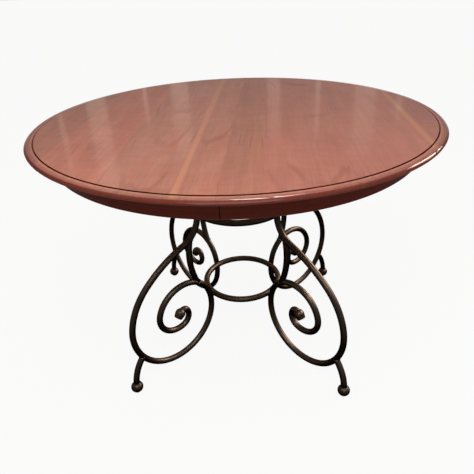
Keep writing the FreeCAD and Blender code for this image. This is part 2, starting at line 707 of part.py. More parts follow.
def glue_blocks(half):
    """Blocks in the corner between the apron and the top, shaped to the apron's curve."""
    low = TOP_UNDERSIDE - BLOCK_HEIGHT
    inside = cylinder(0, 0, (low, TOP_UNDERSIDE), APRON_INNER)
    x_range = (APRON_INNER - BLOCK_DEPTH, APRON_INNER)
    block = box(x_range, (-BLOCK_LENGTH / 2, BLOCK_LENGTH / 2), (low, TOP_UNDERSIDE)).common(inside)
    facing = 0 if half > 0 else 180
    inner_angle = math.degrees(math.asin((PLATE_PLACE - BLOCK_FROM_SLIDE) / APRON_INNER))
    angles = BLOCK_ANGLES + (-inner_angle, inner_angle)
    return Part.makeCompound([turn_about_z(block, facing + angle) for angle in angles])


def top_half(name, half):
    """Everything that slides with one half of the top."""
    reach = half * TOP_DIAMETER
    long_screws = [screw for end in ENDS.values() for screw in rail_screws(half, end)]
    short_screws = rack_screws(half) + lock_screws(half)
    left_end = -PIN_DEPTH - SEAM_GAP / 2
    right_end = PIN_DEPTH + SEAM_GAP / 2
    pins = [alignment_pin(y, PIN_DIAMETER / 2, (left_end, right_end)) for y in PIN_PLACES]
    pins = [pin.makeChamfer(PIN_NOSE, [edge]) for pin in pins for edge in nose_edges(pin)]
    if half < 0:
        cutters = pins
    else:
        hole = PIN_DIAMETER / 2 + PIN_CLEARANCE
        span = (0, right_end + PIN_HOLE_SPARE)
        cutters = [alignment_pin(y, hole, span) for y in PIN_PLACES]
    cutters = cutters + long_screws + short_screws

    nodes = {}
    disc = whole_top()
    shares = LEFT_BOARD_SHARES if half < 0 else RIGHT_BOARD_SHARES
    start = half * SEAM_GAP / 2
    ends = [reach * sum(shares[: count + 1]) / 2 for count in range(len(shares))] + [reach]
    for count, end in enumerate(ends):
        slab = box((start, end), (-TOP_DIAMETER, TOP_DIAMETER), (TOP_UNDERSIDE, TABLE_HEIGHT))
        nodes["board_%s_%d" % (name, count + 1)] = drilled(disc.common(slab), cutters)
        start = end

    apron_side = box(
        (half * APRON_SEAM_GAP / 2, reach),
        (-TOP_DIAMETER, TOP_DIAMETER),
        (TOP_UNDERSIDE - APRON_DEPTH, TOP_UNDERSIDE),
    )
    nodes["apron_" + name] = apron_ring().common(apron_side)
    nodes["glue_blocks_" + name] = glue_blocks(half)
    for end_name, end in ENDS.items():
        nodes["slide_rail_%s_%s" % (name, end_name)] = slide_rail(half, end)
    nodes["rack_" + name] = rack(half)
    nodes["rail_screws_" + name] = Part.makeCompound(long_screws)
    nodes["short_screws_" + name] = Part.makeCompound(short_screws)
    plates = Part.makeCompound([lock_plate(half, end) for end in ENDS.values()])
    if half < 0:
        nodes["lock_plates"] = plates
        nodes["alignment_pins"] = Part.makeCompound(pins)
    else:
        nodes["lock_catches"] = plates
    return nodes


def nose_edges(pin):
    """The round edge at a pin's free end, which enters the other half."""
    return [edge for edge in pin.Edges if edge.Closed and edge.BoundBox.XMin > 0]


def write(nodes):
    """One file for each piece."""
    os.makedirs("parts", exist_ok=True)
    for name, shape in nodes.items():
        shape.exportStep("parts/" + name + ".step")
        solids = len(shape.Solids)
        print("%-28s solids %2d  valid %s  volume %.0f" % (name, solids, shape.isValid(), shape.Volume))


def main():
    nodes = iron_base()
    nodes.update(sub_frame())
    for name, half in HALVES.items():
        nodes.update(top_half(name, half))
    nodes["pinion"] = pinion()
    for name, end in ENDS.items():
        nodes["lock_lever_" + name] = lock_lever(end)
    write(nodes)


main()
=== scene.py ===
# %% [markdown]
# # A round extension table, dressed in Blender
#
# The table is already modelled as solids: a cherry top in two sliding halves, a curved apron, the wooden
# slides under it, and a base of bent iron bars. This lesson loads those solids, which stay where they are,
# and gives them their looks: finishes that are worked out by nodes, weld beads on the iron, a studio and a
# camera. Every length is in metres unless a name says otherwise.

# %% Load the frame
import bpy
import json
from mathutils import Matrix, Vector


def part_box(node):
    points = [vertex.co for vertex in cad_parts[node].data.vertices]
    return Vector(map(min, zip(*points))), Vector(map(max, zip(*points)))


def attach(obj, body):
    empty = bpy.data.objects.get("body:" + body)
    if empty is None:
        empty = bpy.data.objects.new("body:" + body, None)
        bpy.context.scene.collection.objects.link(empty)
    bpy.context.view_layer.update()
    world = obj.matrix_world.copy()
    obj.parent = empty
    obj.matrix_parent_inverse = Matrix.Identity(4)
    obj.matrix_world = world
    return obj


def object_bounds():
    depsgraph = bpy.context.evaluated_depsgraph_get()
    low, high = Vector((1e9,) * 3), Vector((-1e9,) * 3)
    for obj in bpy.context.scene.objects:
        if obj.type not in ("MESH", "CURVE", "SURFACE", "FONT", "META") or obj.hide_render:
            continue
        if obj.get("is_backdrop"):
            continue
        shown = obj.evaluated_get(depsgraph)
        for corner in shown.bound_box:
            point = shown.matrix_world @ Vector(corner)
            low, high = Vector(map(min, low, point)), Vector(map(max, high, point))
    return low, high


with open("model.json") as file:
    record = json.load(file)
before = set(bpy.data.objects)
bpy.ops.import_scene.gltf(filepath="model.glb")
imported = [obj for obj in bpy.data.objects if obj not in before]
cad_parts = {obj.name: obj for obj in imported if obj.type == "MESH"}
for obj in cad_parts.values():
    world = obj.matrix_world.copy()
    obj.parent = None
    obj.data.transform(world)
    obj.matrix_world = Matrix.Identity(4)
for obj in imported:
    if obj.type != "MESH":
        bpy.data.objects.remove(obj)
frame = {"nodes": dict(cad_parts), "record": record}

cad_low, cad_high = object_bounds()
print("frame:", len(frame["nodes"]), "nodes from", tuple(cad_low), "to", tuple(cad_high))

# %% Modules used below
import json
import math

import bmesh
import bpy
from mathutils import Matrix, Vector
from mathutils.bvhtree import BVHTree

# %% [markdown]
# ## Camera
# The photograph was taken standing, a little to the right of the seam, looking down at the top. A camera
# could be moved about until the picture looks right, but a circle in perspective is an ellipse, and can be
# measured. The ellipses of the rim, of its groove and of the two iron rings were fitted together, which
# gives a focal length in pixels, a height, a distance and a tilt. A picture 474 pixels wide on a 36 mm
# sensor turns the focal length into millimetres.

# %% Camera
PICTURE = 474  # pixels, each way
FOCAL_PIXELS = 453.9
CENTRE_PIXEL = 242.2  # where the lens axis meets the picture, from its left edge
EYE_DISTANCE = 1.282
EYE_HEIGHT = 1.103
EYE_PITCH, EYE_ROLL, EYE_YAW = 0.522, -0.040, 0.004  # radians
EYE_AROUND = math.radians(4.4)  # round the table, from straight in front of the seam

forward = Vector((
    math.sin(EYE_YAW) * math.cos(EYE_PITCH),
    math.cos(EYE_YAW) * math.cos(EYE_PITCH),
    -math.sin(EYE_PITCH),
))
level = Vector((math.cos(EYE_YAW), -math.sin(EYE_YAW), 0.0))
upright = level.cross(forward)
right = level * math.cos(EYE_ROLL) + upright * math.sin(EYE_ROLL)
up = upright * math.cos(EYE_ROLL) - level * math.sin(EYE_ROLL)
facing_seam = Matrix((right, up, -forward)).transposed().to_4x4()
facing_seam.translation = (0.0, -EYE_DISTANCE, EYE_HEIGHT)

lens = bpy.data.cameras.new("viewpoint")
lens.sensor_width = 36.0
lens.lens = lens.sensor_width * FOCAL_PIXELS / PICTURE
lens.shift_x = (PICTURE / 2 - CENTRE_PIXEL) / PICTURE
lens.clip_end = 200.0
camera = bpy.data.objects.new("viewpoint", lens)
bpy.context.scene.collection.objects.link(camera)
camera.matrix_world = Matrix.Rotation(EYE_AROUND, 4, "Z") @ facing_seam
bpy.context.scene.camera = camera
eye = camera.matrix_world.translation
print("camera at", tuple(round(x, 3) for x in eye), "lens", round(lens.lens, 2))

# %% [markdown]
# ## Colours and nodes
# Colours are written as sRGB hex values, as they are picked in a paint program. Blender's shaders work in
# linear light, so one function converts them. A second function adds a node: its settings are given by
# name, and each input is either a value or the socket that it is linked from.

# %% Colours and nodes
def linear(code):
    """Linear RGBA from an sRGB hex value."""
    parts = [int(code[place:place + 2], 16) / 255 for place in (1, 3, 5)]
    return (*[c / 12.92 if c <= 0.04045 else ((c + 0.055) / 1.055) ** 2.4 for c in parts], 1.0)


def add(tree, kind, inputs=None, stops=(), **settings):
    """One node, with its settings, its linked or typed inputs and the stops of a colour ramp."""
    made = tree.nodes.new(kind)
    for key, value in settings.items():
        setattr(made, key, value)
    for key, value in (inputs or {}).items():
        if isinstance(value, bpy.types.NodeSocket):
            tree.links.new(value, made.inputs[key])
        else:
            made.inputs[key].default_value = value
    for count, (position, colour) in enumerate(stops):
        stop = made.color_ramp.elements[count] if count < 2 else made.color_ramp.elements.new(position)
        stop.position, stop.color = position, colour
    return made


def finish_named(name):
    """An empty material and its node tree."""
    material = bpy.data.materials.new(name)
    material.use_nodes = True
    material.node_tree.nodes.clear()
    return material, material.node_tree


print("middle grey, #808080, is", round(linear("#808080")[0], 3), "in linear light")

# %% [markdown]
# ## Studio
# The photograph is a cut-out on white, taken in a room that is bright overhead and dim at the sides. A
# picture of a room could light the scene, but a gradient is enough: the world is bright above, grey and a
# touch cooler at the height that the polished top mirrors, and dimmer at the left. It adds up, with the
# lamps, to about one, so that a colour renders about as it is written.

# %% World
SKY = (  # sine of the height above the horizon, brightness
    (0.0, 0.95), (0.07, 0.85), (0.15, 0.20), (0.45, 0.30), (0.62, 0.40), (0.75, 0.82), (1.0, 1.0),
)
WARM, COOL = (1.0, 0.97, 0.92, 1.0), (0.95, 1.0, 0.98, 1.0)  # shares of red, green and blue
WARM_ABOVE = 0.5
LEFT_SHARE, RIGHT_SHARE = 0.66, 1.24  # the room is brighter at the right
world = bpy.data.worlds.new("studio")
world.use_nodes = True
world.node_tree.nodes.clear()
tree = world.node_tree
toward = add(tree, "ShaderNodeTexCoord").outputs["Generated"]
aimed = add(tree, "ShaderNodeSeparateXYZ", {"Vector": toward}).outputs
sky = add(
    tree, "ShaderNodeValToRGB", {"Fac": aimed["Z"]},
    stops=[
        (height, [bright * share for share in (WARM if height > WARM_ABOVE else COOL)])
        for height, bright in SKY
    ],
)
sided = add(
    tree, "ShaderNodeMapRange",
    {"Value": aimed["X"], "From Min": -1.0, "From Max": 1.0, "To Min": LEFT_SHARE, "To Max": RIGHT_SHARE},
).outputs["Result"]
glow = add(tree, "ShaderNodeBackground", {"Color": sky.outputs["Color"], "Strength": sided})
add(tree, "ShaderNodeOutputWorld", {"Surface": glow.outputs["Background"]})
bpy.context.scene.world = world
bpy.context.scene.view_settings.view_transform = "Standard"
print("world: brightness", SKY[-1][1], "overhead,", SKY[3][1], "at the sides")

# %% [markdown]
# ## Floor
# The floor is a sheet of pale paper. More light would whiten it, but it would bleach the table too. So most
# of what the camera and the reflections see of it is plain white, and the rest is paper that takes the
# light, which leaves the table a shadow to stand on.

# %% Floor
FLOOR_HALF = 40.0
FLOOR_GAP = 0.0005  # under the glides
WHITE_SHARE = 0.92
shape = bmesh.new()
bmesh.ops.create_grid(shape, x_segments=1, y_segments=1, size=FLOOR_HALF)
bmesh.ops.translate(shape, vec=(0.0, 0.0, -FLOOR_GAP), verts=shape.verts)
floor_mesh = bpy.data.meshes.new("studio_floor")
shape.to_mesh(floor_mesh)
shape.free()
floor = bpy.data.objects.new("studio_floor", floor_mesh)
bpy.context.scene.collection.objects.link(floor)
pale, tree = finish_named("pale_studio_floor")
paper = add(tree, "ShaderNodeBsdfDiffuse", {"Color": linear("#d2d0cd")})
white = add(tree, "ShaderNodeEmission", {"Color": linear("#ffffff"), "Strength": 1.0})
ray = add(tree, "ShaderNodeLightPath").outputs
shown = add(
    tree, "ShaderNodeMath", {0: ray["Is Camera Ray"], 1: ray["Is Glossy Ray"]}, operation="MAXIMUM",
).outputs[0]
shown = add(
    tree, "ShaderNodeMath", {0: shown, 1: ray["Is Transmission Ray"]}, operation="MAXIMUM",
).outputs[0]
share = add(tree, "ShaderNodeMath", {0: shown, 1: WHITE_SHARE}, operation="MULTIPLY").outputs[0]
mixed = add(tree, "ShaderNodeMixShader", {0: share, 1: paper.outputs[0], 2: white.outputs[0]})
add(tree, "ShaderNodeOutputMaterial", {"Surface": mixed.outputs[0]})
floor_mesh.materials.append(pale)
floor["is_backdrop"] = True
print("floor:", 2 * FLOOR_HALF, "m each way")

# %% [markdown]
# ## Lamps
# One lamp hangs over the near side of the table, so the front of the top is brighter than the back. One
# high behind the table draws the bright line on the rolled rim. One stands at the right, a little behind,
# and finds the upper right sides of the bars, and a far window behind the right side edges the rim. A lamp
# that is there for its mirror image alone has its diffuse light turned off. Each lamp is given by the
# brightness of its face, which is what a mirror shows of it.

# %% Lamps
def softbox(name, place, target, size, brightness, tint="#fffaf5", mirrored_only=False):
    """A rectangular studio lamp, given by the brightness of its face."""
    lamp = bpy.data.lights.new(name, "AREA")
    lamp.color = linear(tint)[:3]
    lamp.shape = "RECTANGLE"
    lamp.size, lamp.size_y = size
    lamp.energy = brightness * math.pi * size[0] * size[1]
    stand = bpy.data.objects.new(name, lamp)
    bpy.context.scene.collection.objects.link(stand)
    aim = Vector(target) - Vector(place)
    stand.matrix_world = Matrix.Translation(place) @ aim.to_track_quat("-Z", "Y").to_matrix().to_4x4()
    stand.visible_camera = False
    stand.visible_diffuse = not mirrored_only
    return stand


softbox("ceiling", (0.12, -1.40, 2.0), (0.0, -0.45, 0.76), (1.0, 0.8), 9.4)
softbox("rim", (0.50, 3.40, 6.8), (0.18, -0.53, 0.76), (1.45, 3.0), 12.5, mirrored_only=True)
key = softbox("key", (2.5, 0.7, 1.6), (0.0, 0.0, 0.4), (2.0, 1.8), 4.4)
softbox("window", (7.5, 5.2, 5.0), (0.44, -0.34, 0.76), (3.0, 3.4), 20.0, "#ffead2", mirrored_only=True)
# the polished top would mirror the lamp at the right as a white sheet, so it lights the iron alone
lit_by_key = bpy.data.collections.new("lit_by_key")
for part in frame["record"]["subparts"]:
    if part["material_slot"] == "iron":
        lit_by_key.objects.link(frame["nodes"][part["node"]])
key.light_linking.receiver_collection = lit_by_key

# %% [markdown]
# ## Strips
# The lacquer of the photograph shows upright streaks, the mirror images of bright gaps at the far end of
# the room. Tall narrow lamps stand in their places, and each is turned to face the camera, so that its
# whole width is what the top mirrors. The streaks could be painted on the wood, but then they would stay
# put when the camera moves.

# %% Strips
STRIP_AWAY = 6.0  # from the camera
STRIP_FOOT = 1.35
STRIPS = (  # degrees right of the camera's axis, width, height, brightness
    (-16.7, 0.24, 1.9, 0.26), (-10.9, 0.05, 0.7, 0.30), (-6.7, 0.22, 1.1, 0.22),
    (4.8, 0.16, 1.0, 0.20), (10.2, 0.05, 1.0, 0.28), (15.8, 0.26, 1.1, 0.18),
    (-21.0, 0.05, 1.7, 0.30), (19.8, 0.06, 0.7, 0.24),
)
for count, (degrees, wide, tall, brightness) in enumerate(STRIPS):
    heading = math.radians(degrees) - EYE_AROUND
    middle = STRIP_FOOT + tall / 2
    place = (
        eye.x + STRIP_AWAY * math.sin(heading), eye.y + STRIP_AWAY * math.cos(heading), middle,
    )
    softbox(
        f"strip_{count}", place, (eye.x, eye.y, middle), (wide, tall), brightness, "#ffe6d2",
        mirrored_only=True,
    )
print("strips:", len(STRIPS))

# %% [markdown]
# ## Cherry: the log
# The top is cherry, sawn through and through, planed, stained a reddish brown and finished with polished
# lacquer. Each board is cut from its own place in a log, so each gets its own finish. The growth rings are
# circles about the pith, which lies some way under the board and leans a little, and the plane of the top
# slices them into long arches. A Mapping node turns places in the table into places in the log, and slow
# waves along the log bend them, because no tree is round.

# %% Cherry: the log
TOP_FACE = cad_high.z
RIM = (cad_high.x - cad_low.x) / 2
WAVE = (0.07, 0.75)  # width and length of a slow wave
BEND = 0.014  # how far the rings wander
SAWN_ASKEW = 0.3  # degrees between the board's edge and the log


def stretched(size):
    """Scales for a pattern that is as wide as size[0] and, along Y, as long as size[1]."""
    return (1 / size[0], 1 / size[1], 1 / size[0])


def place_in_log(tree, place, middle, pith, lean, seed):
    """Coordinates about the pith, the same bent by slow waves, and the waves."""
    log = add(
        tree, "ShaderNodeMapping", {
            "Vector": place,
            "Location": (middle, seed, TOP_FACE - pith),
            "Rotation": (math.radians(lean), 0.0, math.radians(SAWN_ASKEW)),
        }, vector_type="TEXTURE",
    ).outputs["Vector"]
    slow = add(tree, "ShaderNodeMapping", {"Vector": log, "Scale": stretched(WAVE)}).outputs[0]
    slow = add(tree, "ShaderNodeTexNoise", {"Vector": slow, "Scale": 1.0, "Detail": 2.0}).outputs
    bent = add(
        tree, "ShaderNodeVectorMath",
        {0: slow["Color"], 1: (BEND, 0.0, BEND), 2: log}, operation="MULTIPLY_ADD",
    ).outputs[0]
    return log, bent, slow["Fac"]


print("top face at", round(TOP_FACE, 4), "rim radius", round(RIM, 4))

# %% [markdown]
# ## Cherry: rings, streaks and flecks
# Late wood is the thin dark line that ends each year's ring. It is clear in some places of a board and lost
# in others. Fine streaks follow the length of the board, and short gum flecks lie along it. Noise that is
# stretched along the board gives both, each from its own width and length.

# %% Cherry: rings, streaks and flecks
RING_GAP = 0.010  # growth rings, drawn about twice as wide as cherry's, so that they show
LATE_WAVE = (0.80, 1.0)  # of a ring's wave: where the dark line starts, and where it is full
CLEAR_SIZE = 0.16  # of the places where the rings are clear
CLEAR_NOISE = (0.46, 0.70)  # where the rings start to show, and where they are clear
LATE_SHARE = 0.24
STREAK = (0.0045, 0.30)  # width and length of a grain streak, drawn coarser than real so that it shows
FLECK = (0.0026, 0.014)
FLECK_NOISE = (0.60, 0.76)  # where a fleck starts, and where it is full
FLECK_SHARE = 0.15


def late_wood(tree, log, bent):
    """How much of the dark line of a ring shows."""
    rings = add(
        tree, "ShaderNodeTexWave",
        {"Vector": bent, "Scale": math.pi / (10 * RING_GAP), "Distortion": 0.0},
        wave_type="RINGS", rings_direction="Y",
    ).outputs["Fac"]
    late = add(
        tree, "ShaderNodeMapRange",
        {"Value": rings, "From Min": LATE_WAVE[0], "From Max": LATE_WAVE[1]},
        interpolation_type="SMOOTHSTEP",
    ).outputs["Result"]
    clear = add(
        tree, "ShaderNodeTexNoise", {"Vector": log, "Scale": 1 / CLEAR_SIZE, "Detail": 1.0},
    ).outputs["Fac"]
    clear = add(
        tree, "ShaderNodeMapRange",
        {"Value": clear, "From Min": CLEAR_NOISE[0], "From Max": CLEAR_NOISE[1], "To Max": LATE_SHARE},
        interpolation_type="SMOOTHSTEP",
    ).outputs["Result"]
    return add(tree, "ShaderNodeMath", {0: late, 1: clear}, operation="MULTIPLY").outputs[0]


def streaks_and_flecks(tree, log):
    """Long narrow streaks, and short dark flecks."""
    thin = add(tree, "ShaderNodeMapping", {"Vector": log, "Scale": stretched(STREAK)}).outputs[0]
    streaks = add(
        tree, "ShaderNodeTexNoise", {"Vector": thin, "Scale": 1.0, "Detail": 4.0, "Roughness": 0.6},
    ).outputs["Fac"]
    short = add(tree, "ShaderNodeMapping", {"Vector": log, "Scale": stretched(FLECK)}).outputs[0]
    flecks = add(tree, "ShaderNodeTexNoise", {"Vector": short, "Scale": 1.0, "Detail": 1.0}).outputs["Fac"]
    flecks = add(
        tree, "ShaderNodeMapRange",
        {"Value": flecks, "From Min": FLECK_NOISE[0], "From Max": FLECK_NOISE[1], "To Max": FLECK_SHARE},
        interpolation_type="SMOOTHSTEP",
    ).outputs["Result"]
    return streaks, flecks


print("rings every", RING_GAP, "streaks", STREAK, "flecks", FLECK)

# %% [markdown]
# ## Cherry: figure
# Planed cherry is not one brown. Narrow streaks, wide streaks, clouds and the ripples that cross the grain
# share the change from dark to pale wood. A colour could be mixed in for each, but it is simpler to add
# them up, each with its share, and to let the sum choose the colour.

# %% Cherry: figure
BROAD = (0.032, 0.50)  # width and length of a wide streak
CLOUD = 0.14  # size
CURL = (0.085, 0.024)  # ripples that cross the grain where the tree grew under load
STREAK_SHARE, BROAD_SHARE, CLOUD_SHARE, CURL_SHARE = 0.38, 0.34, 0.28, 0.30
FIGURE_SUM = (0.46, 0.84)  # sums that give the darkest and the palest wood


def figure_of(tree, log, bent, streaks):
    """From 0, dark wood, to 1, pale wood."""
    wide = add(tree, "ShaderNodeMapping", {"Vector": log, "Scale": stretched(BROAD)}).outputs[0]
    wide = add(tree, "ShaderNodeTexNoise", {"Vector": wide, "Scale": 1.0, "Detail": 2.0}).outputs["Fac"]
    cloud = add(
        tree, "ShaderNodeTexNoise", {"Vector": log, "Scale": 1 / CLOUD, "Detail": 3.0},
    ).outputs["Fac"]
    curl = add(tree, "ShaderNodeMapping", {"Vector": bent, "Scale": stretched(CURL)}).outputs[0]
    curl = add(
        tree, "ShaderNodeTexNoise", {"Vector": curl, "Scale": 1.0, "Detail": 3.0, "Distortion": 1.2},
    ).outputs["Fac"]
    figure = 0.0
    for pattern, share in (
        (streaks, STREAK_SHARE), (wide, BROAD_SHARE), (cloud, CLOUD_SHARE), (curl, CURL_SHARE),
    ):
        figure = add(
            tree, "ShaderNodeMath", {0: pattern, 1: share, 2: figure}, operation="MULTIPLY_ADD",
        ).outputs[0]
    return add(
        tree, "ShaderNodeMapRange",
        {"Value": figure, "From Min": FIGURE_SUM[0], "From Max": FIGURE_SUM[1]},
    ).outputs["Result"]


print("wide streaks", BROAD, "clouds", CLOUD, "ripples", CURL)

# %% [markdown]
# ## Cherry: colour
# Some of the heartwood is redder, and the late wood and the flecks are darker. A little pale sapwood is
# left on three edges, where the board reached the outside of the log. It is a strip along the board, and
# the slow waves of the log make it wander.

# %% Cherry: colour
BLUSH = (0.045, 0.16)  # redder patches of heartwood
BLUSH_NOISE = (0.46, 0.74)  # where a red patch starts, and where it is full
BLUSH_SHARE = 0.34
SAP_SHARE = 0.55
SAP_SWAY = 0.010  # how far a sapwood strip wanders


def heartwood(tree, log, figure, darker, dark_wood, pale_wood):
    """The colour of the board, with red patches, late wood and flecks."""
    wood = add(
        tree, "ShaderNodeMix",
        {"Factor": figure, 6: linear(dark_wood), 7: linear(pale_wood)}, data_type="RGBA",
    ).outputs[2]
    blush = add(tree, "ShaderNodeMapping", {"Vector": log, "Scale": stretched(BLUSH)}).outputs[0]
    blush = add(tree, "ShaderNodeTexNoise", {"Vector": blush, "Scale": 1.0, "Detail": 3.0}).outputs["Fac"]
    blush = add(
        tree, "ShaderNodeMapRange",
        {"Value": blush, "From Min": BLUSH_NOISE[0], "From Max": BLUSH_NOISE[1], "To Max": BLUSH_SHARE},
        interpolation_type="SMOOTHSTEP",
    ).outputs["Result"]
    wood = add(
        tree, "ShaderNodeMix", {"Factor": blush, 6: wood, 7: linear("#b6664f")}, data_type="RGBA",
    ).outputs[2]
    return add(
        tree, "ShaderNodeMix", {"Factor": darker, 6: wood, 7: linear("#5f2c20")}, data_type="RGBA",
    ).outputs[2]


def with_sapwood(tree, wood, across, slow, strips):
    """The wood with pale strips along it, each given by its middle and half width."""
    sway = add(
        tree, "ShaderNodeMath", {0: slow, 1: SAP_SWAY, 2: -SAP_SWAY / 2}, operation="MULTIPLY_ADD",
    ).outputs[0]
    for centre, half in strips:
        off = add(tree, "ShaderNodeMath", {0: across, 1: sway}, operation="ADD").outputs[0]
        off = add(tree, "ShaderNodeMath", {0: off, 1: centre}, operation="SUBTRACT").outputs[0]
        off = add(tree, "ShaderNodeMath", {0: off}, operation="ABSOLUTE").outputs[0]
        strip = add(
            tree, "ShaderNodeMapRange",
            {"Value": off, "From Min": 0.0, "From Max": half, "To Min": SAP_SHARE, "To Max": 0.0},
            interpolation_type="SMOOTHSTEP",
        ).outputs["Result"]
        wood = add(
            tree, "ShaderNodeMix", {"Factor": strip, 6: wood, 7: linear("#cc8a68")}, data_type="RGBA",
        ).outputs[2]
    return wood


print("red patches", BLUSH, "sapwood wanders", SAP_SWAY)

# %% [markdown]
# ## Cherry: the moulding
# A groove runs round the top and is painted dark: partly its stain, partly painted shade, darker on
# the inner wall, which lies in shade, than on the lit outer one. Outside the groove, the crest of the
# bead is painted paler: partly rubbed by arms and cloths, partly a painted highlight where it faces up.
# The moulding could be cut off and given a finish of its own, but the distance from the middle of the table
# tells its places apart, so that one material does for the whole board.

# %% Cherry: the moulding
CREST_AT = RIM - 0.0180
CREST_FADE = (0.0016, 0.0046)  # from the crest: painted paler to here, and not past here
CREST_WEAR_AND_HIGHLIGHT = 0.15
GROOVE_AT = RIM - 0.0215
GROOVE_SHADE_FADE = (-0.0004, 0.0008)  # from the groove's middle, outwards
GROOVE_LIT_WALL_SHARE = 0.2  # share of the dark painted on the lit outer wall
GROOVE_EDGE = (0.0017, 0.0027)  # from the groove's middle: painted dark to here, and not past here


def moulding(tree, place, wood):
    """The wood with its crest painted paler and its groove painted dark, and how dark the groove is."""
    flat = add(tree, "ShaderNodeVectorMath", {0: place, 1: (1.0, 1.0, 0.0)}, operation="MULTIPLY")
    out = add(tree, "ShaderNodeVectorMath", {0: flat.outputs[0]}, operation="LENGTH").outputs["Value"]
    crest = add(tree, "ShaderNodeMath", {0: out, 1: CREST_AT}, operation="SUBTRACT").outputs[0]
    crest = add(tree, "ShaderNodeMath", {0: crest}, operation="ABSOLUTE").outputs[0]
    crest = add(
        tree, "ShaderNodeMapRange", {
            "Value": crest, "From Min": CREST_FADE[0], "From Max": CREST_FADE[1],
            "To Min": CREST_WEAR_AND_HIGHLIGHT, "To Max": 0.0,
        },
    ).outputs["Result"]
    # the crest is painted paler: wear, and a painted highlight where it faces up
    wood = add(
        tree, "ShaderNodeMix", {"Factor": crest, 6: wood, 7: linear("#d59c88")}, data_type="RGBA",
    ).outputs[2]

    off = add(tree, "ShaderNodeMath", {0: out, 1: GROOVE_AT}, operation="SUBTRACT").outputs[0]
    # the inner wall of the groove is painted darker than the outer one: painted shade
    left = add(
        tree, "ShaderNodeMapRange", {
            "Value": off, "From Min": GROOVE_SHADE_FADE[0], "From Max": GROOVE_SHADE_FADE[1],
            "To Min": 1.0, "To Max": GROOVE_LIT_WALL_SHARE,
        },
    ).outputs["Result"]
    off = add(tree, "ShaderNodeMath", {0: off}, operation="ABSOLUTE").outputs[0]
    groove = add(
        tree, "ShaderNodeMapRange", {
            "Value": off, "From Min": GROOVE_EDGE[0], "From Max": GROOVE_EDGE[1],
            "To Min": 1.0, "To Max": 0.0,
        },
    ).outputs["Result"]
    groove = add(tree, "ShaderNodeMath", {0: groove, 1: left}, operation="MULTIPLY").outputs[0]
    # near black in the groove: its stain, and painted shade
    wood = add(
        tree, "ShaderNodeMix", {"Factor": groove, 6: wood, 7: linear("#2a0b06")}, data_type="RGBA",
    ).outputs[2]
    return wood, groove


print("crest at", round(CREST_AT, 4), "and groove at", round(GROOVE_AT, 4), "from the middle")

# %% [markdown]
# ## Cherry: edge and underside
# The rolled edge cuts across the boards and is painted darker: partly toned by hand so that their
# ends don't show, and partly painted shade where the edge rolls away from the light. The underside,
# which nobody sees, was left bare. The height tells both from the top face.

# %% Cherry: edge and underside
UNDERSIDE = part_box("board_right_2")[0].z
BARE_SKIN = 0.0003  # above the underside
EDGE_TONER_AND_SHADE = (0.0031, 0.0009)  # below the top face: full, and none


def edge_and_underside(tree, height, wood, streaks, figure):
    """The wood with its edge toned and painted in shade, its bare underside, and where it is bare."""
    # the rolled edge is painted darker below the top face: a toner, and painted shade
    edge = add(
        tree, "ShaderNodeMapRange", {
            "Value": height, "From Min": TOP_FACE - EDGE_TONER_AND_SHADE[0], "From Max": TOP_FACE - EDGE_TONER_AND_SHADE[1],
            "To Min": 1.0, "To Max": 0.0,
        }, interpolation_type="SMOOTHSTEP",
    ).outputs["Result"]
    toned_and_shaded = add(
        tree, "ShaderNodeMix",
        {"Factor": streaks, 6: linear("#51211a"), 7: linear("#733629")}, data_type="RGBA",
    ).outputs[2]
    wood = add(tree, "ShaderNodeMix", {"Factor": edge, 6: wood, 7: toned_and_shaded}, data_type="RGBA").outputs[2]

    bare = add(
        tree, "ShaderNodeMath", {0: height, 1: UNDERSIDE + BARE_SKIN}, operation="LESS_THAN",
    ).outputs[0]
    raw = add(
        tree, "ShaderNodeMix",
        {"Factor": figure, 6: linear("#8f6044"), 7: linear("#b98a66")}, data_type="RGBA",
    ).outputs[2]
    wood = add(tree, "ShaderNodeMix", {"Factor": bare, 6: wood, 7: raw}, data_type="RGBA").outputs[2]
    return wood, bare


print("underside at", round(UNDERSIDE, 4))

# %% [markdown]
# ## Cherry: the finish
# The lacquer is the shader's coat: a clear, smooth skin that mirrors the room at low angles. The wood under
# it has no gloss of its own, because the lacquer has filled it. The lacquer is thin round the rolled edge,
# where the polishing cloth bears hardest, and there is none on the stain of the groove or underneath.

# %% Cherry: the finish
# Lacquered cherry: deep reddish brown under a smooth skin that mirrors the room at low angles.
LACQUER = (0.0042, 0.0024)  # below the top face: thin, and full
LACQUER_THIN = 0.15
WOOD_ROUGH, STREAK_ROUGH = 0.4, 0.2  # roughness, and how much a streak adds
FLECK_DEPTH = -2.0  # flecks are pores, and go deeper than streaks


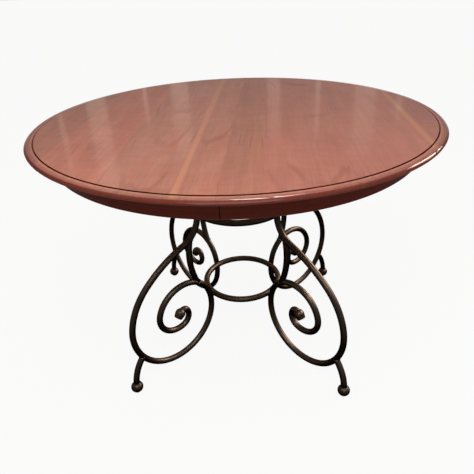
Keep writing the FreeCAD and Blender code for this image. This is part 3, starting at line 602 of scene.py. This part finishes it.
def cherry_board(name, dark_wood, pale_wood, middle, pith, lean, seed, sap):
    """A board's finish: dark and pale wood, the board's middle, pith depth and lean, sapwood strips."""
    material, tree = finish_named(name)
    place = add(tree, "ShaderNodeTexCoord").outputs["Object"]
    parts = add(tree, "ShaderNodeSeparateXYZ", {"Vector": place}).outputs
    log, bent, slow = place_in_log(tree, place, middle, pith, lean, seed)
    late = late_wood(tree, log, bent)
    streaks, flecks = streaks_and_flecks(tree, log)
    figure = figure_of(tree, log, bent, streaks)
    darker = add(tree, "ShaderNodeMath", {0: late, 1: flecks}, operation="MAXIMUM").outputs[0]
    wood = heartwood(tree, log, figure, darker, dark_wood, pale_wood)
    wood = with_sapwood(tree, wood, parts["X"], slow, sap)
    wood, groove = moulding(tree, place, wood)
    wood, bare = edge_and_underside(tree, parts["Z"], wood, streaks, figure)

    lacquered = add(
        tree, "ShaderNodeMapRange", {
            "Value": parts["Z"], "From Min": TOP_FACE - LACQUER[0], "From Max": TOP_FACE - LACQUER[1],
            "To Min": LACQUER_THIN, "To Max": 1.0,
        },
    ).outputs["Result"]
    unlacquered = add(tree, "ShaderNodeMath", {0: groove, 1: bare}, operation="MAXIMUM").outputs[0]
    lacquered = add(
        tree, "ShaderNodeMath", {0: lacquered, 1: unlacquered}, operation="SUBTRACT", use_clamp=True,
    ).outputs[0]
    gloss = add(
        tree, "ShaderNodeMath", {0: streaks, 1: STREAK_ROUGH, 2: WOOD_ROUGH}, operation="MULTIPLY_ADD",
    ).outputs[0]
    pores = add(
        tree, "ShaderNodeMath", {0: flecks, 1: FLECK_DEPTH, 2: streaks}, operation="MULTIPLY_ADD",
    ).outputs[0]
    bump = add(tree, "ShaderNodeBump", {"Height": pores, "Strength": 0.10, "Distance": 0.0004})
    board = add(
        tree, "ShaderNodeBsdfPrincipled", {
            "Base Color": wood, "Roughness": gloss, "IOR": 1.5, "Specular IOR Level": 0.0,
            "Coat Weight": lacquered, "Coat Roughness": 0.10, "Coat IOR": 1.5, "Normal": bump.outputs[0],
        },
    )
    add(tree, "ShaderNodeOutputMaterial", {"Surface": board.outputs["BSDF"]})
    return material


# %% [markdown]
# ## The eight boards
# Four boards are glued edge to edge in each half of the top. The maker turns and swaps them until
# neighbours go well together, so their colours are near but not the same. How deep the pith lies, and how
# much it leans, shapes the arches of each board.

# %% Finish the boards
BOARDS = {  # dark wood, pale wood, pith depth, lean, seed, sapwood strips (middle, half width)
    "board_left_1": ("#a26755", "#bc7d69", 0.100, 3.0, 0.30, [(-0.0765, 0.0095)]),
    "board_left_2": ("#a36958", "#be806c", 0.150, 2.0, 1.70, [(-0.0832, 0.0065)]),
    "board_left_3": ("#a56553", "#c27b67", 0.095, -3.0, 2.90, []),
    "board_left_4": ("#995f4f", "#b27562", 0.150, 2.0, 4.10, []),
    "board_right_1": ("#9b6250", "#b47561", 0.160, -1.5, 5.30, []),
    "board_right_2": ("#a06252", "#b87563", 0.110, 2.6, 6.10, []),
    "board_right_3": ("#a06353", "#b97564", 0.170, -2.0, 7.70, []),
    "board_right_4": ("#975d4f", "#b07060", 0.190, 1.5, 8.90, [(0.463, 0.017)]),
}
for node, (dark_wood, pale_wood, pith, lean, seed, sap) in BOARDS.items():
    low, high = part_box(node)
    middle = (low.x + high.x) / 2
    material = cherry_board(node + "_cherry", dark_wood, pale_wood, middle, pith, lean, seed, sap)
    frame["nodes"][node].data.materials.clear()
    frame["nodes"][node].data.materials.append(material)
print("boards finished:", len(BOARDS), "with", len(material.node_tree.nodes), "nodes in the last")

# %% [markdown]
# ## Apron
# The apron is cherry too, bent round in thin layers and stained darker than the top. Its grain runs round
# the table, and a straight pattern would smear at the sides. So the pattern is laid out along the curve:
# the angle about the centre, times the radius, is the length along the wood.

# %% Apron
# Stained cherry under thin satin lacquer: a deep red brown, streaked along the curve, with little shine.
APRON_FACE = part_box("apron_right")[1].x
APRON_STREAK = (0.25, 0.004)  # length and width
SAWN_END = (0.0008, 0.0016)  # from the seam: dark to here, and not past here
SAWN_SHARE = 0.85
apron_finish, tree = finish_named("apron_stained_cherry")
place = add(tree, "ShaderNodeTexCoord").outputs["Object"]
parts = add(tree, "ShaderNodeSeparateXYZ", {"Vector": place}).outputs
turn = add(tree, "ShaderNodeMath", {0: parts["Y"], 1: parts["X"]}, operation="ARCTAN2").outputs[0]
along = add(tree, "ShaderNodeMath", {0: turn, 1: APRON_FACE}, operation="MULTIPLY").outputs[0]
wrapped = add(tree, "ShaderNodeCombineXYZ", {"X": along, "Z": parts["Z"]}).outputs[0]
thin = add(
    tree, "ShaderNodeMapping",
    {"Vector": wrapped, "Scale": (1 / APRON_STREAK[0], 1.0, 1 / APRON_STREAK[1])},
).outputs[0]
streaks = add(
    tree, "ShaderNodeTexNoise", {"Vector": thin, "Scale": 1.0, "Detail": 4.0, "Roughness": 0.6},
).outputs["Fac"]
wood = add(
    tree, "ShaderNodeMix",
    {"Factor": streaks, 6: linear("#40150e"), 7: linear("#6c2c20")}, data_type="RGBA",
).outputs[2]
# the sawn ends at the seam soak up more stain, and are painted darker still as shade in the gap between the
# halves
seam_stain_and_shade = add(tree, "ShaderNodeMath", {0: parts["X"]}, operation="ABSOLUTE").outputs[0]
seam_stain_and_shade = add(
    tree, "ShaderNodeMapRange", {
        "Value": seam_stain_and_shade, "From Min": SAWN_END[0], "From Max": SAWN_END[1],
        "To Min": SAWN_SHARE, "To Max": 0.0,
    },
).outputs["Result"]
wood = add(
    tree, "ShaderNodeMix", {"Factor": seam_stain_and_shade, 6: wood, 7: linear("#1a0503")}, data_type="RGBA",
).outputs[2]
gloss = add(
    tree, "ShaderNodeMath", {0: streaks, 1: STREAK_ROUGH, 2: WOOD_ROUGH}, operation="MULTIPLY_ADD",
).outputs[0]
bump = add(tree, "ShaderNodeBump", {"Height": streaks, "Strength": 0.1, "Distance": 0.0004})
stained = add(
    tree, "ShaderNodeBsdfPrincipled", {
        "Base Color": wood, "Roughness": gloss, "IOR": 1.5, "Specular IOR Level": 0.0,
        "Coat Weight": 0.10, "Coat Roughness": 0.25, "Coat IOR": 1.5, "Normal": bump.outputs[0],
    },
)
add(tree, "ShaderNodeOutputMaterial", {"Surface": stained.outputs["BSDF"]})
print(apron_finish.name, "on a face at", round(APRON_FACE, 4), "from the middle")

# %% [markdown]
# ## Iron
# The base is bent from round bar, welded, ground and brushed with dark bronze wax. Hammer and grinder leave
# the bar a little uneven. The upper sides of the bars are painted a warm grey brown and the undersides
# nearly black: painted light from above and painted shade below, over wax that is rubbed back unevenly.
# The feet and lowest bends are painted darker still, as shade near the floor. This could be painted by
# hand, bar by bar. Here the way that a surface faces, in the object's own frame, drives a colour ramp, and
# a slow noise makes the rubbing uneven.

# %% Iron
# Bronze-waxed iron: a dark metal with wide, soft highlights, painted light along the tops of the bars and
# painted shade beneath.
DENT, RUB, SKIN = 0.020, 0.07, 0.0016  # sizes of hammer marks, of rubbed places and of the metal's grain
RUB_SHARE = 0.30  # how uneven the rubbing is
FEET = (0.02, 0.22)  # heights of the feet and lowest bends, painted darker as shade near the floor
FEET_SHADE = -0.14
SHADED_UNRUBBED, LIT_RUBBED = -0.85, 1.15  # ends of the colour ramp
IRON_ROUGH, DENT_ROUGH = 0.36, 0.12
SKIN_SHARE = 0.02  # the metal's grain, against the hammer marks
iron_finish, tree = finish_named("bronze_coated_wrought_iron")
place = add(tree, "ShaderNodeTexCoord").outputs["Object"]
dents = add(tree, "ShaderNodeTexNoise", {"Vector": place, "Scale": 1 / DENT, "Detail": 2.0}).outputs["Fac"]
rubbed = add(tree, "ShaderNodeTexNoise", {"Vector": place, "Scale": 1 / RUB, "Detail": 1.0}).outputs["Fac"]
skin = add(tree, "ShaderNodeTexNoise", {"Vector": place, "Scale": 1 / SKIN, "Detail": 1.0}).outputs["Fac"]
# painted light and shade: surfaces that face up are lighter and those that face down darker, with uneven
# rubbing
facing = add(tree, "ShaderNodeTexCoord").outputs["Normal"]
facing = add(tree, "ShaderNodeSeparateXYZ", {"Vector": facing}).outputs["Z"]
lit_and_rubbed = add(
    tree, "ShaderNodeMath", {0: rubbed, 1: RUB_SHARE, 2: facing}, operation="MULTIPLY_ADD",
).outputs[0]
height = add(tree, "ShaderNodeSeparateXYZ", {"Vector": place}).outputs["Z"]
# painted shade: darker toward the floor
shade_near_floor = add(
    tree, "ShaderNodeMapRange",
    {"Value": height, "From Min": FEET[0], "From Max": FEET[1], "To Min": FEET_SHADE, "To Max": 0.0},
).outputs["Result"]
lit_and_rubbed = add(tree, "ShaderNodeMath", {0: lit_and_rubbed, 1: shade_near_floor}, operation="ADD").outputs[0]
lit_and_rubbed = add(
    tree, "ShaderNodeMapRange", {"Value": lit_and_rubbed, "From Min": SHADED_UNRUBBED, "From Max": LIT_RUBBED},
).outputs["Result"]
# the ramp runs from painted shade, nearly black, to painted light, a warm grey brown
wax_lit_and_shaded = add(
    tree, "ShaderNodeValToRGB", {"Fac": lit_and_rubbed}, stops=[
        (0.0, linear("#0c0806")), (0.48, linear("#120d0a")), (0.66, linear("#2f261f")),
        (0.84, linear("#5a4d44")), (1.0, linear("#6d5f53")),
    ],
)
gloss = add(
    tree, "ShaderNodeMath", {0: dents, 1: DENT_ROUGH, 2: IRON_ROUGH}, operation="MULTIPLY_ADD",
).outputs[0]
uneven = add(
    tree, "ShaderNodeMath", {0: skin, 1: SKIN_SHARE, 2: dents}, operation="MULTIPLY_ADD",
).outputs[0]
bump = add(tree, "ShaderNodeBump", {"Height": uneven, "Strength": 0.12, "Distance": 0.0010})
bronzed = add(
    tree, "ShaderNodeBsdfPrincipled", {
        "Base Color": wax_lit_and_shaded.outputs["Color"], "Metallic": 1.0, "Roughness": gloss,
        "Specular Tint": linear("#7a6a5c"), "Normal": bump.outputs[0],
    },
)
add(tree, "ShaderNodeOutputMaterial", {"Surface": bronzed.outputs["BSDF"]})
print(iron_finish.name, "with", len(tree.nodes), "nodes")

# %% [markdown]
# ## Maple
# Under the top, the slides and cleats are bare planed maple, hard and pale. They show when the table is
# opened. The streaks are noise, stretched along the piece, and because some pieces lie along X and some
# along Y, one small function makes the finish for either.

# %% Maple
# Planed maple, without lacquer: pale straw with fine brown streaks, and dull.
MAPLE_STREAK = (0.004, 0.18)  # width and length


def bare_maple(name, along):
    """Planed maple whose grain runs along X (0) or Y (1)."""
    material, tree = finish_named(name)
    place = add(tree, "ShaderNodeTexCoord").outputs["Object"]
    scale = [1 / MAPLE_STREAK[0]] * 3
    scale[along] = 1 / MAPLE_STREAK[1]
    thin = add(tree, "ShaderNodeMapping", {"Vector": place, "Scale": scale}).outputs[0]
    streaks = add(
        tree, "ShaderNodeTexNoise", {"Vector": thin, "Scale": 1.0, "Detail": 4.0, "Roughness": 0.6},
    ).outputs["Fac"]
    wood = add(
        tree, "ShaderNodeMix",
        {"Factor": streaks, 6: linear("#a57c52"), 7: linear("#d9bd92")}, data_type="RGBA",
    ).outputs[2]
    bump = add(tree, "ShaderNodeBump", {"Height": streaks, "Strength": 0.15, "Distance": 0.0005})
    bare = add(
        tree, "ShaderNodeBsdfPrincipled",
        {"Base Color": wood, "Roughness": 0.6, "IOR": 1.5, "Normal": bump.outputs[0]},
    )
    add(tree, "ShaderNodeOutputMaterial", {"Surface": bare.outputs["BSDF"]})
    return material


maple_along_x = bare_maple("planed_maple_long", 0)
maple_along_y = bare_maple("planed_maple_cross", 1)
print(maple_along_x.name, maple_along_y.name, "streaks", MAPLE_STREAK)

# %% [markdown]
# ## Zinc plate
# The racks, locks and screws are steel with a skin of zinc, so that they don't rust. The skin is made of
# crystals, which a Voronoi texture draws, and handling clouds it, which is noise. The screws are yellower,
# because they were dipped after plating.

# %% Zinc plate
# Bright zinc plate: a light grey metal, clouded, with a faint crystal grain in its shine.
CRYSTAL, CLOUDING = 0.004, 0.012  # sizes
ZINC_ROUGH, CRYSTAL_ROUGH = 0.30, 0.15


def zinc_plate(name, tint):
    """Zinc plate that is clouded from grey to a tint."""
    material, tree = finish_named(name)
    place = add(tree, "ShaderNodeTexCoord").outputs["Object"]
    grains = add(tree, "ShaderNodeTexVoronoi", {"Vector": place, "Scale": 1 / CRYSTAL}).outputs["Distance"]
    mottled = add(
        tree, "ShaderNodeTexNoise", {"Vector": place, "Scale": 1 / CLOUDING, "Detail": 3.0},
    ).outputs["Fac"]
    shade = add(
        tree, "ShaderNodeMix",
        {"Factor": mottled, 6: linear("#8e8c86"), 7: linear(tint)}, data_type="RGBA",
    ).outputs[2]
    gloss = add(
        tree, "ShaderNodeMath", {0: grains, 1: CRYSTAL_ROUGH, 2: ZINC_ROUGH}, operation="MULTIPLY_ADD",
    ).outputs[0]
    plate = add(
        tree, "ShaderNodeBsdfPrincipled", {"Base Color": shade, "Metallic": 1.0, "Roughness": gloss},
    )
    add(tree, "ShaderNodeOutputMaterial", {"Surface": plate.outputs["BSDF"]})
    return material


zinc_steel = zinc_plate("zinc_plated_steel", "#bdbbb4")
zinc_screw = zinc_plate("zinc_plated_screws", "#b9b090")
print(zinc_steel.name, zinc_screw.name, "crystals", CRYSTAL)

# %% [markdown]
# ## Nylon
# The gear between the racks and the glides under the feet are moulded nylon. Its colour goes right through,
# so the finish is nearly even, and what tells it from paint is the fine grain that the mould leaves.

# %% Nylon
# Moulded nylon: even in colour, slightly waxy, with the fine grain of the mould.
MOULD_GRAIN = 0.0015


def moulded_nylon(name, dark, light):
    """Nylon with the fine grain that the mould leaves."""
    material, tree = finish_named(name)
    place = add(tree, "ShaderNodeTexCoord").outputs["Object"]
    grain = add(
        tree, "ShaderNodeTexNoise", {"Vector": place, "Scale": 1 / MOULD_GRAIN, "Detail": 2.0},
    ).outputs["Fac"]
    shade = add(
        tree, "ShaderNodeMix", {"Factor": grain, 6: linear(dark), 7: linear(light)}, data_type="RGBA",
    ).outputs[2]
    bump = add(tree, "ShaderNodeBump", {"Height": grain, "Strength": 0.1, "Distance": 0.0003})
    plastic = add(
        tree, "ShaderNodeBsdfPrincipled",
        {"Base Color": shade, "Roughness": 0.45, "IOR": 1.53, "Normal": bump.outputs[0]},
    )
    add(tree, "ShaderNodeOutputMaterial", {"Surface": plastic.outputs["BSDF"]})
    return material


white_nylon = moulded_nylon("white_moulded_nylon", "#cfcdc4", "#e6e4dc")
black_nylon = moulded_nylon("black_moulded_nylon", "#0d0d0d", "#1c1c1c")
print(white_nylon.name, black_nylon.name, "grain", MOULD_GRAIN)

# %% [markdown]
# ## Each node's finish
# The record of the table names a material slot for every node. The boards have their finishes already, and
# the grain of a maple piece follows its longer side, so the others are looked up by slot.

# %% Give each node its finish
FINISHES = {
    "cherry_apron": apron_finish,
    "iron": iron_finish,
    "zinc_steel": zinc_steel,
    "zinc_screw": zinc_screw,
    "nylon_white": white_nylon,
    "nylon_black": black_nylon,
}
for part in frame["record"]["subparts"]:
    name, slot = part["node"], part["material_slot"]
    if slot == "cherry_top":
        continue
    material = FINISHES.get(slot)
    if slot == "maple":
        low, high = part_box(name)
        material = maple_along_x if high.x - low.x > high.y - low.y else maple_along_y
    mesh = frame["nodes"][name].data
    mesh.materials.clear()
    mesh.materials.append(material)

# %% [markdown]
# ## Weld beads
# Where a bar ends on another, the smith lays a bead of molten iron round the joint and files it a little.
# A bead could be a curve with thickness, but its line is where two round bars part, which no simple curve
# gives. So a small circle is spun round the bar, which makes a ring, and then each step of the ring slides
# along the bar until it lies where the bar comes out of the other one. A search tree over the other bar's
# triangles tells inside from outside.

# %% One bead
BEAD_STEPS, BEAD_SECTION = 36, 10  # faces round the bar, and round the bead
SCALLOPS = 9  # the drops that a bead is laid in
SCALLOP_SWELL = 0.10  # share of the bead's radius
SEARCH_STEP, SEARCH_FAR = 0.0005, 0.045  # along the bar


def inside(solid, point):
    """Whether a point lies inside the solid, which is given as a search tree."""
    spot, normal, _, _ = solid.find_nearest(point)
    return (point - spot).dot(normal) < 0.0


def weld_bead(shape, foot, axis, reach, thick, other=None):
    """A ring of weld round a bar at foot, along axis, that sits where the bar leaves the other one."""
    axis = axis.normalized()
    side = axis.orthogonal().normalized()
    across = axis.cross(side)
    start = Matrix((side, axis, side.cross(axis))).transposed().to_4x4()
    start.translation = foot + side * reach
    before = set(shape.verts)
    bmesh.ops.create_circle(shape, segments=BEAD_SECTION, radius=thick, matrix=start)
    section = [v for v in shape.verts if v not in before]
    edges = list(dict.fromkeys(e for v in section for e in v.link_edges))
    bmesh.ops.spin(
        shape, geom=section + edges, cent=foot, axis=axis, angle=2 * math.pi, steps=BEAD_STEPS,
        use_merge=True,
    )
    slides = {}
    for vert in (v for v in shape.verts if v not in before):
        arm = vert.co - foot
        turn = math.atan2(arm.dot(across), arm.dot(side))
        step = round(turn / (2 * math.pi) * BEAD_STEPS) % BEAD_STEPS
        around = side * math.cos(turn) + across * math.sin(turn)
        if step not in slides:
            slides[step] = 0.0
            slide = SEARCH_FAR
            while other and slide > -SEARCH_FAR:
                if inside(other, foot + around * reach + axis * slide):
                    slides[step] = slide
                    break
                slide -= SEARCH_STEP
        swell = SCALLOP_SWELL * math.sin(SCALLOPS * turn)
        vert.co += (vert.co - foot - around * reach) * swell + axis * slides[step]


print("a bead has", BEAD_STEPS * BEAD_SECTION, "faces")

# %% [markdown]
# ## Beads of the legs
# Each leg has seven welds: two ends of its brace, two of its foot stem, one under the mounting plate and
# one on each ring. All legs are alike, so the places are written once, in the upright plane of a leg, and
# the ball foot tells which way that plane faces.

# %% Beads of the legs
BRANCHES = (  # radius, height and direction away from the weld, of the brace's ends and the stem's top
    (0.19719, 0.43974, 0.2397, -0.9709), (0.18343, 0.27822, 0.4005, 0.9163),
    (0.40753, 0.11738, 0.6530, -0.7574),
)
RINGS = (  # the same, where the waist ring and the stretcher ring touch the leg
    (0.15512, 0.49634, 0.9935, 0.1137), (0.13055, 0.20393, 0.9788, -0.2047),
)
STEM_FOOT, LEG_TOP = (0.445, 0.0302), (0.23997, 0.6712)  # radius and height, of upright bars
BAR = 0.0095  # radius
BEAD, TOP_BEAD, RING_BEAD = 0.0023, 0.0024, 0.0020  # radius of the weld
RING_TOUCH = 0.0052  # radius of the patch where a ring touches a leg
SAME_PLACE = 1e-6  # corners this near are one
aloft = Vector((0.0, 0.0, 1.0))
for leg in ("front_left", "front_right", "back_left", "back_right"):
    low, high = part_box("ball_foot_" + leg)
    outward = Vector((low.x + high.x, low.y + high.y, 0.0)).normalized()
    copy = bmesh.new()
    copy.from_mesh(frame["nodes"]["leg_scroll_" + leg].data)
    bmesh.ops.remove_doubles(copy, verts=copy.verts, dist=SAME_PLACE)
    bar = BVHTree.FromBMesh(copy)
    copy.free()
    shape = bmesh.new()
    for r, z, along, rise in BRANCHES:
        weld_bead(shape, outward * r + aloft * z, outward * along + aloft * rise, BAR, BEAD, bar)
    weld_bead(shape, outward * STEM_FOOT[0] + aloft * STEM_FOOT[1], aloft, BAR, BEAD)
    weld_bead(shape, outward * LEG_TOP[0] + aloft * LEG_TOP[1], aloft, BAR, TOP_BEAD)
    for r, z, along, rise in RINGS:
        weld_bead(shape, outward * r + aloft * z, outward * along + aloft * rise, RING_TOUCH, RING_BEAD)
    bmesh.ops.remove_doubles(shape, verts=shape.verts, dist=SAME_PLACE)
    bmesh.ops.recalc_face_normals(shape, faces=shape.faces)
    for face in shape.faces:
        face.smooth = True
    mesh = bpy.data.meshes.new("weld_beads_" + leg)
    shape.to_mesh(mesh)
    shape.free()
    beads = bpy.data.objects.new("weld_beads_" + leg, mesh)
    bpy.context.scene.collection.objects.link(beads)
    mesh.materials.append(iron_finish)
    lit_by_key.objects.link(beads)
    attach(beads, "base")
    print(beads.name, len(mesh.polygons), "faces")

# %% [markdown]
# ## Sizes
# The looks stay inside the solids' box. Both boxes are written down, to compare.

# %% Sizes, and the end
low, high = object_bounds()
print("dressed: from", tuple(low), "to", tuple(high))
